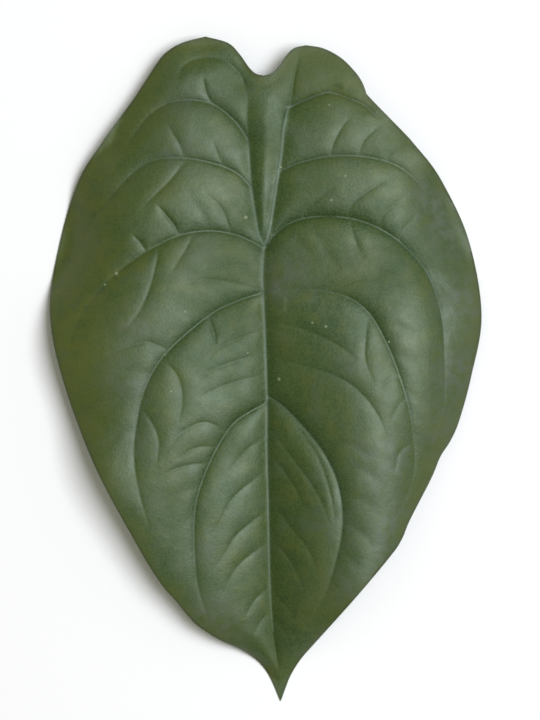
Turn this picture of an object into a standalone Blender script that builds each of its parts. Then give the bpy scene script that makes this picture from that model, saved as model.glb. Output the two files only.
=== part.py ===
"""An alocasia leaf as picked: one blade, its ribs and the cut stub of its stalk, in one solid.

The leaf lies face up with its tip toward -Y. It arches over its stalk like a shell and touches
the surface at its tip and at its two shoulders. The origin is on that surface, under the middle
of the blade's length and width.

The blade is laid out in plan as a field of points: the margin, the veins, and an even fill. One
triangulation of that field is used twice, lifted by one height formula for the upper face and
lowered by the blade's thickness and its ribs for the lower face.
"""
import math

import bmesh
import bpy
import numpy as np
from mathutils import Vector
from mathutils.geometry import delaunay_2d_cdt

MM = 0.001  # every length below is in millimetres

# The margin in plan, in six stretches from the tip round by the left lobe, the notch and the
# right lobe back to the tip. Each stretch starts where the one before it ends.
LEFT_SIDE = [(6.0, -132.8), (3.4, -126.4), (0.6, -121.0), (-3.4, -116.2), (-9.8, -111.8), (-17.8, -108.0),
             (-24.2, -104.0), (-29.0, -100.0), (-35.4, -92.2), (-42.2, -84.0), (-51.8, -68.0),
             (-68.6, -36.0), (-80.6, -4.0), (-86.1, 24.8), (-82.2, 52.0), (-74.6, 76.0), (-63.8, 92.8)]
LEFT_CROWN = [(-63.8, 92.8), (-52.6, 108.2), (-42.6, 123.4), (-38.2, 127.8), (-32.6, 130.8), (-24.0, 133.0)]
LEFT_OF_NOTCH = [(-24.0, 133.0), (-15.0, 130.4), (-10.2, 125.6), (-7.0, 121.0), (-4.2, 118.2), (-0.8, 117.2)]
RIGHT_OF_NOTCH = [(-0.8, 117.2), (2.6, 118.2), (5.4, 120.8), (8.2, 125.0), (11.4, 128.2), (16.2, 129.4)]
RIGHT_CROWN = [(16.2, 129.4), (23.0, 128.2), (29.8, 124.6), (35.0, 119.6), (38.2, 115.2), (40.0, 110.8),
               (41.8, 108.2), (57.4, 92.0)]
RIGHT_SIDE = [(57.4, 92.0), (70.2, 76.0), (81.4, 52.0), (86.3, 22.0), (82.2, -2.4), (77.4, -20.0),
              (73.8, -28.2), (69.8, -34.4), (66.0, -43.2), (57.4, -59.6), (53.8, -67.8), (47.8, -76.0),
              (20.6, -108.0), (13.8, -116.2), (10.0, -122.4), (8.0, -127.2), (6.0, -132.8)]
STRETCHES = [LEFT_SIDE, LEFT_CROWN, LEFT_OF_NOTCH, RIGHT_OF_NOTCH, RIGHT_CROWN, RIGHT_SIDE]

# The spine of the fold: the midrib and the two ribs that run back into the lobes, with the crest
# of the wedge between those two.
MIDRIB = [(-0.6, 49.6), (-1.2, 40.0), (-0.8, 28.0), (0.0, 10.0), (0.6, -10.0), (0.6, -32.0), (1.2, -56.0),
          (1.8, -84.0), (3.2, -106.0), (4.6, -115.2), (5.8, -124.0), (6.0, -130.8)]
LEFT_BACK_RIB = [(-0.6, 49.6), (-2.6, 53.6), (-3.8, 60.0), (-5.6, 72.8), (-6.6, 87.2), (-7.4, 98.0),
                 (-7.4, 108.8), (-8.4, 113.6)]
RIGHT_BACK_RIB = [(-0.6, 49.6), (0.8, 52.8), (2.8, 64.0), (4.6, 76.0), (6.2, 86.0), (7.2, 96.8),
                  (9.0, 104.4)]
JUNCTION = MIDRIB[0]
WEDGE_CREST = [(-0.2, 57.0), (-0.2, 66.0), (0.2, 76.0), (0.4, 86.0), (0.6, 96.0), (0.6, 106.0)]

# The main side veins, from the spine outward.
LEFT_LOBE_VEIN = [(-8.4, 113.6), (-10.2, 118.0), (-16.2, 123.6), (-21.4, 124.6), (-27.4, 124.0),
                  (-32.2, 121.6), (-34.8, 116.8), (-34.8, 109.6)]
LEFT_TOP_VEIN = [(-7.0, 92.0), (-12.2, 99.2), (-20.2, 105.6), (-29.4, 107.6), (-38.6, 106.4), (-47.0, 100.8),
                 (-54.6, 90.4), (-57.8, 84.0)]
LEFT_UPPER_VEIN = [(-5.8, 72.8), (-11.8, 78.8), (-21.4, 82.4), (-33.0, 84.4), (-44.6, 83.4), (-52.6, 78.4),
                   (-61.4, 69.2), (-70.2, 56.8), (-73.0, 49.6)]
LEFT_FIRST_VEIN = [(-1.0, 48.8), (-11.0, 53.6), (-22.2, 55.4), (-33.4, 53.8), (-43.4, 49.4), (-53.4, 43.0),
                   (-64.2, 33.8), (-73.4, 22.0), (-76.6, 15.2), (-77.8, 7.2)]
LEFT_SECOND_VEIN = [(-1.2, 30.8), (-11.0, 27.6), (-21.4, 22.4), (-35.0, 11.2), (-43.0, 2.0), (-48.2, -8.8),
                    (-51.0, -20.8), (-52.2, -34.0), (-50.2, -48.0), (-46.2, -61.6)]
LEFT_THIRD_VEIN = [(0.6, -12.8), (-11.4, -20.0), (-17.8, -28.4), (-23.4, -39.6), (-27.6, -52.8),
                   (-28.4, -68.0), (-27.0, -85.2), (-22.6, -100.0)]
RIGHT_LOBE_VEIN = [(9.0, 104.4), (14.6, 107.2), (22.6, 110.2), (25.4, 110.8), (32.6, 108.6), (40.2, 105.2),
                   (43.8, 101.2)]
RIGHT_UPPER_VEIN = [(5.8, 79.2), (13.8, 82.6), (26.6, 85.2), (41.8, 84.6), (54.2, 80.4), (64.6, 70.4),
                    (72.2, 57.6), (75.0, 50.0)]
RIGHT_FIRST_VEIN = [(-0.6, 48.0), (4.6, 54.8), (13.0, 59.8), (25.0, 61.2), (37.8, 59.4), (49.8, 53.8),
                    (59.0, 45.6), (65.4, 36.4), (70.2, 20.8), (71.2, 0.0), (70.8, -13.6), (65.8, -30.8)]
RIGHT_SECOND_VEIN = [(-0.8, 31.2), (12.0, 31.8), (24.0, 31.4), (34.0, 28.4), (40.8, 23.0), (45.4, 16.0),
                     (51.4, 2.8), (57.0, -15.6), (59.2, -34.4), (57.4, -46.0), (52.2, -57.6)]
RIGHT_THIRD_VEIN = [(1.0, -10.4), (8.2, -15.4), (19.0, -27.2), (25.4, -36.8), (29.4, -47.6), (30.6, -59.6),
                    (29.0, -72.0), (23.8, -89.2), (17.8, -99.2)]

# The branch veins between them, each from the vein that it leaves.
LEFT_BRANCHES = [
    [(-21.0, 106.2), (-23.4, 109.6), (-25.0, 116.8)],
    [(-32.6, 84.8), (-33.8, 88.8), (-35.8, 92.4), (-39.8, 99.2)],
    [(-31.4, 84.0), (-37.8, 75.6), (-50.2, 63.2)],
    [(-16.6, 81.2), (-18.6, 84.8), (-21.4, 92.4)],
    [(-22.6, 56.0), (-23.8, 60.4), (-27.0, 64.8), (-33.0, 71.2)],
    [(-14.2, 55.6), (-15.8, 60.8), (-18.2, 65.2), (-24.2, 70.8)],
    [(-34.6, 54.0), (-36.6, 58.0), (-43.4, 66.0)],
    [(-47.8, 47.6), (-49.4, 50.4), (-53.0, 54.0)],
    [(-28.6, 54.4), (-31.0, 49.2), (-37.8, 38.0)],
    [(-42.6, 49.2), (-43.0, 44.0), (-45.8, 32.8), (-49.8, 23.6), (-55.4, 16.0)],
    [(-22.6, 21.2), (-20.2, 14.0), (-20.2, 8.4)],
    [(-0.6, 16.0), (-11.0, 12.4), (-19.8, 8.0), (-25.0, 0.8)],
    [(-0.2, 7.2), (-13.0, 3.2), (-22.2, -0.4), (-28.6, -5.2)],
    [(0.2, -1.6), (-12.6, -4.8), (-23.0, -9.2), (-26.6, -12.4)],
    [(-41.4, 3.6), (-37.8, 1.6), (-34.2, -4.0), (-33.0, -12.0), (-34.6, -22.4)],
    [(-38.2, 7.6), (-43.8, 10.4), (-49.0, 11.0), (-63.4, 6.0)],
    [(-45.8, -2.8), (-50.2, -0.6), (-55.8, -0.6), (-63.8, -4.4)],
    [(-48.2, -11.6), (-57.8, -12.6), (-64.6, -18.0)],
    [(-51.4, -22.8), (-59.0, -24.8), (-63.8, -31.6)],
    [(-48.6, -15.6), (-43.8, -23.2), (-42.2, -30.0), (-43.4, -38.0)],
    [(-52.2, -32.8), (-55.4, -34.0), (-60.2, -40.0)],
    [(-19.4, -30.8), (-24.6, -30.4), (-29.4, -31.6), (-37.0, -37.2)],
    [(-15.4, -25.6), (-20.6, -21.6), (-25.4, -20.8), (-33.4, -24.8), (-39.0, -31.6)],
    [(-22.6, -37.6), (-27.8, -37.2), (-37.4, -40.0), (-45.4, -46.0)],
    [(-25.8, -46.0), (-39.8, -51.6), (-45.8, -58.4)],
    [(-28.2, -58.0), (-34.2, -61.6), (-40.2, -66.8)],
    [(0.6, -40.0), (-6.6, -45.2), (-13.4, -51.6), (-17.8, -60.0), (-23.4, -68.4)],
    [(1.0, -55.2), (-5.8, -60.8), (-11.8, -66.0), (-16.2, -73.2), (-21.0, -80.4)],
    [(1.4, -68.4), (-6.2, -73.8), (-11.8, -79.0), (-15.4, -86.4), (-16.6, -91.6)],
    [(1.8, -86.4), (-4.6, -92.2), (-8.6, -100.0)],
    [(2.2, -96.0), (-2.2, -100.8), (-4.6, -106.4)],
    [(0.6, -26.4), (-8.2, -32.4), (-14.6, -40.8), (-17.0, -45.6)],
    [(-1.4, 40.8), (-8.2, 41.6), (-15.0, 41.2), (-27.8, 37.6)],
    [(-1.4, 32.0), (-10.2, 34.0), (-23.8, 36.0), (-36.6, 32.8)],
]
RIGHT_BRANCHES = [
    [(9.4, 104.4), (10.6, 110.0), (11.4, 116.0), (13.4, 125.6)],
    [(25.8, 85.2), (27.0, 90.0), (31.0, 97.6), (34.2, 100.4)],
    [(37.0, 85.0), (38.2, 89.2), (40.2, 92.8), (46.2, 97.6)],
    [(47.8, 83.2), (49.4, 86.4), (54.6, 89.6)],
    [(32.6, 60.8), (33.8, 64.6), (37.4, 68.8), (49.8, 76.8)],
    [(13.8, 60.0), (16.6, 64.0), (28.2, 73.6)],
    [(45.0, 56.8), (47.4, 62.4), (56.6, 70.0)],
    [(53.0, 51.6), (54.6, 55.6), (60.2, 61.6)],
    [(33.8, 60.4), (34.6, 55.2), (37.4, 47.2), (40.2, 44.0)],
    [(21.0, 31.6), (29.8, 33.6), (39.4, 36.6), (43.8, 35.2)],
    [(41.0, 23.2), (39.8, 12.8), (39.6, 4.0), (43.4, -6.0)],
    [(1.8, 19.2), (17.0, 15.6), (29.8, 9.2), (39.0, 1.6)],
    [(2.6, 4.8), (17.0, 1.2), (29.0, -2.8), (38.2, -9.4), (45.0, -18.8), (48.6, -30.0), (51.4, -42.0)],
    [(55.8, -11.6), (53.0, -13.8), (49.4, -20.8)],
    [(58.6, -29.2), (55.0, -31.0), (52.6, -34.0), (51.4, -41.6)],
    [(53.0, -2.8), (49.8, -2.8), (45.0, -7.6)],
    [(1.0, -22.0), (9.8, -34.0), (16.2, -42.2), (22.2, -52.0), (25.8, -62.4)],
    [(1.4, -51.2), (9.8, -62.4), (17.4, -71.8), (21.0, -82.4)],
    [(1.8, -66.4), (9.8, -76.0), (15.4, -87.2)],
    [(2.2, -88.0), (8.6, -94.8), (11.8, -98.8)],
    [(2.6, -98.0), (7.4, -104.4), (9.0, -108.8)],
    [(30.2, -51.2), (34.2, -50.4), (42.2, -53.6), (47.8, -62.4)],
    [(30.6, -60.4), (35.0, -62.2), (41.4, -68.0), (43.4, -72.4)],
    [(28.6, -43.6), (33.4, -39.6), (38.6, -39.6), (50.2, -48.8)],
    [(22.6, -31.6), (27.8, -29.2), (33.8, -29.6), (43.0, -35.6)],
    [(45.8, 15.6), (51.8, 16.8), (57.4, 15.6), (66.2, 8.4)],
    [(50.2, 5.2), (55.0, 5.2), (59.4, 2.8), (66.6, -5.2)],
    [(54.6, -7.2), (58.6, -10.0), (65.4, -18.0)],
    [(57.4, -16.8), (60.6, -19.2), (66.2, -26.8)],
    [(1.0, -32.0), (10.6, -44.8), (16.6, -57.2)],
    [(0.2, 43.2), (7.8, 44.8), (23.8, 44.8), (35.8, 38.8)],
    [(28.2, -71.2), (32.2, -73.2), (37.8, -80.4)],
    [(70.2, 20.8), (73.4, 16.0), (77.8, 3.2)],
    [(71.0, 4.0), (75.4, -8.0), (75.8, -14.4)],
    [(65.4, 36.4), (69.8, 34.4), (77.0, 25.6)],
    [(58.6, 46.0), (63.8, 45.6), (72.6, 39.2)],
]

SPINE = [MIDRIB, LEFT_BACK_RIB, RIGHT_BACK_RIB]
SIDE_VEINS = [LEFT_LOBE_VEIN, LEFT_TOP_VEIN, LEFT_UPPER_VEIN, LEFT_FIRST_VEIN, LEFT_SECOND_VEIN,
              LEFT_THIRD_VEIN, RIGHT_LOBE_VEIN, RIGHT_UPPER_VEIN, RIGHT_FIRST_VEIN, RIGHT_SECOND_VEIN,
              RIGHT_THIRD_VEIN]
BRANCHES = LEFT_BRANCHES + RIGHT_BRANCHES

# The spine of the fold: its height over the surface at the junction and at the tip.
SPINE_AT_JUNCTION = 14.5
SPINE_AT_TIP = 0.4
SPINE_BEND = 2.6             # how late the spine turns down to the tip
SPINE_DROP_TO_LOBES = 4.5
TIP_REACH = JUNCTION[1] - LEFT_SIDE[0][1]
LOBE_REACH = LEFT_CROWN[-1][1] - JUNCTION[1]

# The slopes at which the two halves rise from the spine, first by the junction, then by the tip.
LEFT_FOLD = (0.17, 0.45)
RIGHT_FOLD = (0.13, 0.65)
FOLD_BLEND = 5.0             # how softly one half takes over from the other
CURL = 3.1                   # how late, and so how sharply, the blade turns down to its margin

# The height of the margin, and the places where it stands higher or lower: centre, spread, rise.
MARGIN_HEIGHT = 8.5
MARGIN_RISES = [((-0.8, 117.2), 22.0, 3.0), ((-84.0, -5.0), 38.0, 8.0), ((-78.0, -14.0), 22.0, -4.0),
                ((-66.0, -42.0), 22.0, 6.0), ((-50.0, -72.0), 38.0, 8.0), ((44.0, 106.0), 38.0, 2.5),
                ((64.0, 84.0), 22.0, 5.0), ((84.0, -5.0), 38.0, -3.0), ((48.0, -74.0), 38.0, 6.0),
                ((36.0, -90.0), 22.0, 5.0)]
MARGIN_BLEND = 5.0           # how softly neighbouring stretches of the margin take over

# Where the leaf touches the surface: the tip and the two shoulders.
REST_SPOTS = [(5.0, -128.0), (-81.5, 50.0), (78.5, 58.0)]
REST_SPREAD = 25.0
REST_PRESS = 2.2             # how far the spots would sink in if the surface did not flatten them

# Grooves over the veins on the upper face, ribs under them on the lower face.
SPINE_GROOVE, SPINE_RIB, SPINE_RIB_WIDTH = 2.4, 2.2, 1.9
SIDE_GROOVE, SIDE_RIB, SIDE_RIB_WIDTH = 2.3, 1.1, 1.3
BRANCH_GROOVE, BRANCH_RIB, BRANCH_RIB_WIDTH = 0.8, 0.4, 1.0
GROOVE_STEEP, GROOVE_WIDE = 3.4, 11.0
STEEP_SHARE = 0.6            # share of a groove's depth that lies in its steep walls
BRANCH_STEEP = 2.8
FADE = 3.0                   # how late a groove fades out along its vein
RIB_TAPER = 0.8              # share of its height that a rib loses along its vein
JOIN_POWER = 4.0             # grooves that meet blend and do not add up

BLADE = 0.7                  # thickness, measured square to the surface
LEAST_LEAN = 0.4             # upward share of the surface's normal where the blade is steepest

# The cut stub of the stalk, under the junction. It turns back toward the notch.
STALK_BASE = 5.0
STALK_RADIUS = 2.6
STALK_SIDES = 14
STALK_BEND = 4.2
STALK_TURN = math.radians(90)
STALK_LENGTH = 14.0
STALK_DROP = 0.8
STALK_STEPS = 5
RING_SLACK = 0.01            # for telling the ring's own points by their distance

# Spacing of the field of points, and how far each kind keeps from the points before it.
CURVE_SPLIT = 12             # points worked out between two hand-placed ones
MARGIN_STEP = 4.0
MARGIN_ROW = 2.4
VEIN_STEP = 4.6
VEIN_ROW = 1.8
BRANCH_STEP = 4.4
FILL_STEP = 4.8
EDGE_CLEARANCE = 1.6
ROW_CLEARANCE = 1.5
BRANCH_CLEARANCE = 2.3
FILL_CLEARANCE = 3.0


def curve(points, step):
    """A smooth curve through hand-placed points, as points about one step apart."""
    knots = np.array(points, dtype=float)
    ends = np.vstack([2 * knots[0] - knots[1], knots, 2 * knots[-1] - knots[-2]])
    t = np.arange(CURVE_SPLIT)[:, None] / CURVE_SPLIT
    spans = []
    for a, b, c, d in zip(ends[:-3], ends[1:-2], ends[2:-1], ends[3:]):
        spans.append(0.5 * (2 * b + (c - a) * t + (2 * a - 5 * b + 4 * c - d) * t ** 2
                            + (3 * b - a - 3 * c + d) * t ** 3))
    fine = np.vstack(spans + [knots[-1:]])
    run = np.concatenate([[0], np.cumsum(np.linalg.norm(np.diff(fine, axis=0), axis=1))])
    stops = np.linspace(0, run[-1], max(2, round(run[-1] / step) + 1))
    return np.column_stack([np.interp(stops, run, fine[:, axis]) for axis in (0, 1)])


def nearest(route, plan):
    """How far each plan point is from a route, and how far along the route that is, 0 to 1."""
    start, run = route[:-1], np.diff(route, axis=0)
    offset = plan[:, None] - start
    along = np.clip((offset * run).sum(2) / (run ** 2).sum(1), 0, 1)
    gap = np.linalg.norm(offset - along[..., None] * run, axis=2)
    first = gap.argmin(1)
    rows = np.arange(len(plan))
    return gap[rows, first], (first + along[rows, first]) / len(run)


def bump(plan, centre, spread):
    """1 at the centre, falling away smoothly to 0."""
    return np.exp(-((plan - np.array(centre)) ** 2).sum(1) / spread ** 2)


def margin_distance(plan):
    """Distance from the margin, blended where two stretches are equally near."""
    gaps = [nearest(curve(stretch, MARGIN_STEP), plan)[0] for stretch in STRETCHES]
    total = sum(np.exp(-gap / MARGIN_BLEND) for gap in gaps)
    return np.maximum(-MARGIN_BLEND * np.log(total), 0)


def right_share(plan):
    """How far a plan point belongs to the right half, 0 to 1, blended across the spine."""
    line = np.array(WEDGE_CREST[::-1] + MIDRIB)
    middle = np.interp(-plan[:, 1], -line[:, 1], line[:, 0])
    return 1 / (1 + np.exp((middle - plan[:, 0]) / FOLD_BLEND))


def arch(plan):
    """The broad form: a shell folded along its spine, with its margin turned down."""
    down = np.clip((JUNCTION[1] - plan[:, 1]) / TIP_REACH, 0, 1)
    back = np.clip((plan[:, 1] - JUNCTION[1]) / LOBE_REACH, 0, 1)
    spine = SPINE_AT_JUNCTION - (SPINE_AT_JUNCTION - SPINE_AT_TIP) * down ** SPINE_BEND
    spine = spine - SPINE_DROP_TO_LOBES * back ** 2
    margin = MARGIN_HEIGHT + sum(rise * bump(plan, spot, spread) for spot, spread, rise in MARGIN_RISES)
    press = np.max([bump(plan, spot, REST_SPREAD) for spot in REST_SPOTS], axis=0)
    margin = margin * (1 - press) - REST_PRESS * press
    left_fold = LEFT_FOLD[0] + (LEFT_FOLD[1] - LEFT_FOLD[0]) * down
    right_fold = RIGHT_FOLD[0] + (RIGHT_FOLD[1] - RIGHT_FOLD[0]) * down
    fold = left_fold + (right_fold - left_fold) * right_share(plan)
    from_spine = np.min([nearest(curve(rib, VEIN_STEP), plan)[0] for rib in SPINE], axis=0)
    width = from_spine + margin_distance(plan)
    outward = from_spine / width
    rim = spine + fold * width
    return spine + fold * from_spine - (rim - margin) * outward ** CURL


def vein_relief(plan):
    """Depth of the grooves above the veins, and height of the ribs below them."""
    groove = np.zeros(len(plan))
    rib = np.zeros(len(plan))
    orders = [(SPINE, SPINE_GROOVE, GROOVE_STEEP, GROOVE_WIDE, SPINE_RIB, SPINE_RIB_WIDTH),
              (SIDE_VEINS, SIDE_GROOVE, GROOVE_STEEP, GROOVE_WIDE, SIDE_RIB, SIDE_RIB_WIDTH),
              (BRANCHES, BRANCH_GROOVE, BRANCH_STEEP, BRANCH_STEEP, BRANCH_RIB, BRANCH_RIB_WIDTH)]
    for veins, depth, steep, wide, ridge, ridge_width in orders:
        for vein in veins:
            gap, along = nearest(curve(vein, VEIN_STEP), plan)
            wall = STEEP_SHARE * np.exp(-gap / steep) + (1 - STEEP_SHARE) * np.exp(-gap / wide)
            groove += (depth * (1 - along ** FADE) * wall) ** JOIN_POWER
            tapered = ridge * (1 - RIB_TAPER * along)
            rib = np.maximum(rib, tapered * np.exp(-(gap / ridge_width) ** 2))
    return groove ** (1 / JOIN_POWER), rib


def keep_clear(field, candidates, clearance):
    """The candidates that stay clear of every point that is already in the field."""
    placed = np.vstack(field)
    gap = np.linalg.norm(candidates[:, None] - placed, axis=2).min(1)
    return candidates[gap >= clearance]


def inside(plan, loop):
    """Which plan points lie inside a closed loop, by counting the crossings of a ray."""
    ahead = np.roll(loop, -1, axis=0)
    x, y = plan[:, None, 0], plan[:, None, 1]
    straddles = (loop[:, 1] > y) != (ahead[:, 1] > y)
    rise = np.where(ahead[:, 1] == loop[:, 1], 1e-9, ahead[:, 1] - loop[:, 1])
    crossing = loop[:, 0] + (y - loop[:, 1]) / rise * (ahead[:, 0] - loop[:, 0])
    return (straddles & (x < crossing)).sum(1) % 2 == 1


def side_rows(route, offset):
    """The two rows that run beside a route, one on each side."""
    tangent = np.gradient(route, axis=0)
    tangent /= np.linalg.norm(tangent, axis=1)[:, None]
    across = np.column_stack([-tangent[:, 1], tangent[:, 0]])
    return route + offset * across, route - offset * across


def margin_loop(step):
    """The whole margin as one closed loop of points."""
    return np.vstack([curve(stretch, step)[:-1] for stretch in STRETCHES])


def stalk_ring():
    """The ring of plan points where the stalk meets the blade."""
    angles = np.arange(STALK_SIDES) * 2 * math.pi / STALK_SIDES
    return np.array(JUNCTION) + STALK_BASE * np.column_stack([np.cos(angles), np.sin(angles)])


def even_fill(low, high):
    """Rows of evenly spaced points over a rectangle, every other row shifted by half a step."""
    rows = []
    for row, y in enumerate(np.arange(low[1], high[1], FILL_STEP * math.sin(math.radians(60)))):
        across = np.arange(low[0] + FILL_STEP / 2 * (row % 2), high[0], FILL_STEP)
        rows.append(np.column_stack([across, np.full(len(across), y)]))
    return np.vstack(rows)


def plan_field():
    """Plan points in order of importance: each kind keeps clear of those placed before it."""
    loop = margin_loop(MARGIN_STEP)
    field = [loop, stalk_ring()]
    for veins in (SPINE, SIDE_VEINS):
        for vein in veins:
            field.append(keep_clear(field, curve(vein, VEIN_STEP), ROW_CLEARANCE))
        for vein in veins:
            for row in side_rows(curve(vein, VEIN_STEP), VEIN_ROW):
                field.append(keep_clear(field, row, ROW_CLEARANCE))
    field.append(keep_clear(field, curve(WEDGE_CREST, VEIN_STEP), ROW_CLEARANCE))
    for row in side_rows(loop, MARGIN_ROW):
        field.append(keep_clear(field, row, BRANCH_CLEARANCE))
    for vein in BRANCHES:
        field.append(keep_clear(field, curve(vein, BRANCH_STEP), BRANCH_CLEARANCE))
    field.append(keep_clear(field, even_fill(loop.min(0), loop.max(0)), FILL_CLEARANCE))
    inner = np.vstack(field[1:])
    inner = inner[inside(inner, loop)]
    edge = margin_loop(MARGIN_STEP / 4)
    inner = keep_clear([edge], inner, EDGE_CLEARANCE)
    return np.vstack([loop, inner]), len(loop)


def triangulate():
    """Plan points and triangles of the blade. The margin and the stalk ring are kept as edges."""
    plan, margin_count = plan_field()
    ring = [margin_count + side for side in range(STALK_SIDES)]
    edges = [(i, (i + 1) % margin_count) for i in range(margin_count)]
    edges += list(zip(ring, ring[1:] + ring[:1]))
    flat = [Vector(point) for point in plan]
    points, _, triangles, *_ = delaunay_2d_cdt(flat, edges, [], 1, 1e-5, True)
    plan = np.array([tuple(point) for point in points])
    triangles = np.array([tuple(triangle) for triangle in triangles])
    within = inside(plan[triangles].mean(1), plan[:margin_count])
    return plan, triangles[within].tolist()


def add_stalk(mesh, ring, base_height):
    """Extend the lower face's open ring into a bent, tapering stub with a cut end."""
    loop = ring
    for step in range(1, STALK_STEPS + 2):
        share = min(step / STALK_STEPS, 1)
        turn = STALK_TURN * share
        radius = STALK_RADIUS + (STALK_BASE - STALK_RADIUS) * (1 - share) ** 2
        middle = Vector((JUNCTION[0], JUNCTION[1] + STALK_BEND * (1 - math.cos(turn)),
                         base_height - STALK_DROP - STALK_BEND * math.sin(turn)))
        if step > STALK_STEPS:
            middle += STALK_LENGTH * Vector((0, math.sin(turn), -math.cos(turn)))
        across, up = Vector((1, 0, 0)), Vector((0, math.cos(turn), math.sin(turn)))
        section = []
        for side in range(STALK_SIDES):
            angle = side * 2 * math.pi / STALK_SIDES
            offset = radius * (math.cos(angle) * across + math.sin(angle) * up)
            section.append(mesh.verts.new((middle + offset) * MM))
        for side in range(STALK_SIDES):
            after = (side + 1) % STALK_SIDES
            mesh.faces.new([loop[side], section[side], section[after], loop[after]])
        loop = section
    mesh.faces.new(loop[::-1])


def build_leaf():
    """The blade's two faces, its rim and its stalk as one closed mesh."""
    plan, triangles = triangulate()
    groove, rib = vein_relief(plan)
    upper = arch(plan) - groove
    mesh = bmesh.new()
    top = [mesh.verts.new((x * MM, y * MM, z * MM)) for (x, y), z in zip(plan, upper)]
    for a, b, c in triangles:
        mesh.faces.new([top[a], top[b], top[c]])
    mesh.normal_update()
    lean = np.array([max(vert.normal.z, LEAST_LEAN) for vert in top])
    lower = np.maximum(upper - BLADE / lean - rib, 0)
    for vert, z, slope in zip(top, lower, lean):
        vert.co.z = max(vert.co.z, (z + BLADE / slope) * MM)
    bottom = [mesh.verts.new((x * MM, y * MM, z * MM)) for (x, y), z in zip(plan, lower)]

    from_junction = np.linalg.norm(plan - np.array(JUNCTION), axis=1)
    under_stalk = from_junction < STALK_BASE + RING_SLACK
    for a, b, c in triangles:
        if not (under_stalk[a] and under_stalk[b] and under_stalk[c]):
            mesh.faces.new([bottom[c], bottom[b], bottom[a]])
    for a, b, c in triangles:
        for start, end in ((a, b), (b, c), (c, a)):
            if top_edge_is_open(mesh, top[start], top[end]):
                mesh.faces.new([top[end], top[start], bottom[start], bottom[end]])

    on_ring = [i for i in np.flatnonzero(under_stalk) if from_junction[i] > STALK_BASE - RING_SLACK]
    on_ring.sort(key=lambda i: math.atan2(*(plan[i] - np.array(JUNCTION))[::-1]) % (2 * math.pi))
    for i in np.flatnonzero(under_stalk):
        if i not in on_ring:
            mesh.verts.remove(bottom[i])
    add_stalk(mesh, [bottom[i] for i in on_ring], min(lower[i] for i in on_ring))
    return mesh


def top_edge_is_open(mesh, start, end):
    """Whether the edge between two upper points still borders one face only."""
    edge = mesh.edges.get((start, end))
    return edge is not None and len(edge.link_faces) == 1


def leaf_material():
    """Satin green of the upper face."""
    material = bpy.data.materials.new("leaf")
    material.use_nodes = True
    shader = material.node_tree.nodes["Principled BSDF"]
    shader.inputs["Base Color"].default_value = (0.075, 0.125, 0.040, 1)
    shader.inputs["Roughness"].default_value = 0.45
    shader.inputs["Metallic"].default_value = 0
    return material


def main():
    """Clear the scene and make the leaf."""
    for item in list(bpy.data.objects):
        bpy.data.objects.remove(item)
    leaf = bpy.data.objects.new("alocasia_leaf", bpy.data.meshes.new("alocasia_leaf"))
    mesh = build_leaf()
    mesh.to_mesh(leaf.data)
    mesh.free()
    leaf.data.shade_smooth()
    leaf.data.set_sharp_from_angle(angle=math.radians(50))
    leaf.data.materials.append(leaf_material())
    bpy.context.collection.objects.link(leaf)


main()
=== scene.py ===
# %% [markdown]
# # An alocasia leaf, as picked
# The leaf is one piece that grew as one: a thin heart-shaped blade, folded along its midrib and
# quilted between its veins, with ribs and the cut stub of its stalk beneath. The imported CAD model
# gives its place, size and broad form. This lesson builds the same form from the same lines, far
# finer, and adds what the eye looks for: fine veins, grain, sheen and several greens.

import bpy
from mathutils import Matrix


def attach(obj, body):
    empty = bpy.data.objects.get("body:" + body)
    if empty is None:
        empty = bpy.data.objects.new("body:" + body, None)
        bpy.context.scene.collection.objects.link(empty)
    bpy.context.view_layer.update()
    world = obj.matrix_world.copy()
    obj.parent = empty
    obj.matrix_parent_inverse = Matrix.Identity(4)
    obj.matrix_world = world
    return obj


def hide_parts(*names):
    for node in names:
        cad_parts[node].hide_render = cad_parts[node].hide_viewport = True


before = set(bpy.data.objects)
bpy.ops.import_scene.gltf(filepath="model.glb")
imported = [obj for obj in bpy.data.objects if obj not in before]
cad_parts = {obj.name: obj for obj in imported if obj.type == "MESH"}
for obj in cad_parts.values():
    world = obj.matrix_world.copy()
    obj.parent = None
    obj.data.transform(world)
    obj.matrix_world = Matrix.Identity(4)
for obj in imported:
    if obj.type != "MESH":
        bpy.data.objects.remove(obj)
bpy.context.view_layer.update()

# %% [markdown]
# Lengths below are in millimetres, because a leaf is easier to think of that way, and are turned
# into metres when the mesh is made.

# %% Tools of the trade
import math

import bpy
import numpy as np
from mathutils import Vector
from mathutils.geometry import delaunay_2d_cdt

MM = 0.001

# %% [markdown]
# ## The margin
# The outline is six stretches of points, from the tip round by the left lobe, the notch and the
# right lobe back to the tip. The points follow the leaf's edge as measured, thinned to its bends. A
# mesh circle could be pulled into shape, but measured points with a smooth curve through them keep
# the slight bends of a margin that grew.

# %% Margin points
LEFT_SIDE = [(6, -132.8), (3.4, -126.4), (0.6, -121), (-3.4, -116.2), (-9.8, -111.8), (-17.8, -108),
             (-24.2, -104), (-29, -100), (-35.4, -92.2), (-42.2, -84), (-51.8, -68),
             (-68.6, -36), (-80.6, -4), (-86.1, 24.8), (-82.2, 52), (-74.6, 76), (-63.8, 92.8)]
LEFT_CROWN = [(-63.8, 92.8), (-52.6, 108.2), (-42.6, 123.4), (-38.2, 127.8), (-32.6, 130.8), (-24, 133)]
LEFT_OF_NOTCH = [(-24, 133), (-15, 130.4), (-10.2, 125.6), (-7, 121), (-4.2, 118.2), (-0.8, 117.2)]
RIGHT_OF_NOTCH = [(-0.8, 117.2), (2.6, 118.2), (5.4, 120.8), (8.2, 125), (11.4, 128.2), (16.2, 129.4)]
RIGHT_CROWN = [(16.2, 129.4), (23, 128.2), (29.8, 124.6), (35, 119.6), (38.2, 115.2), (40, 110.8),
               (41.8, 108.2), (57.4, 92)]
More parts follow.
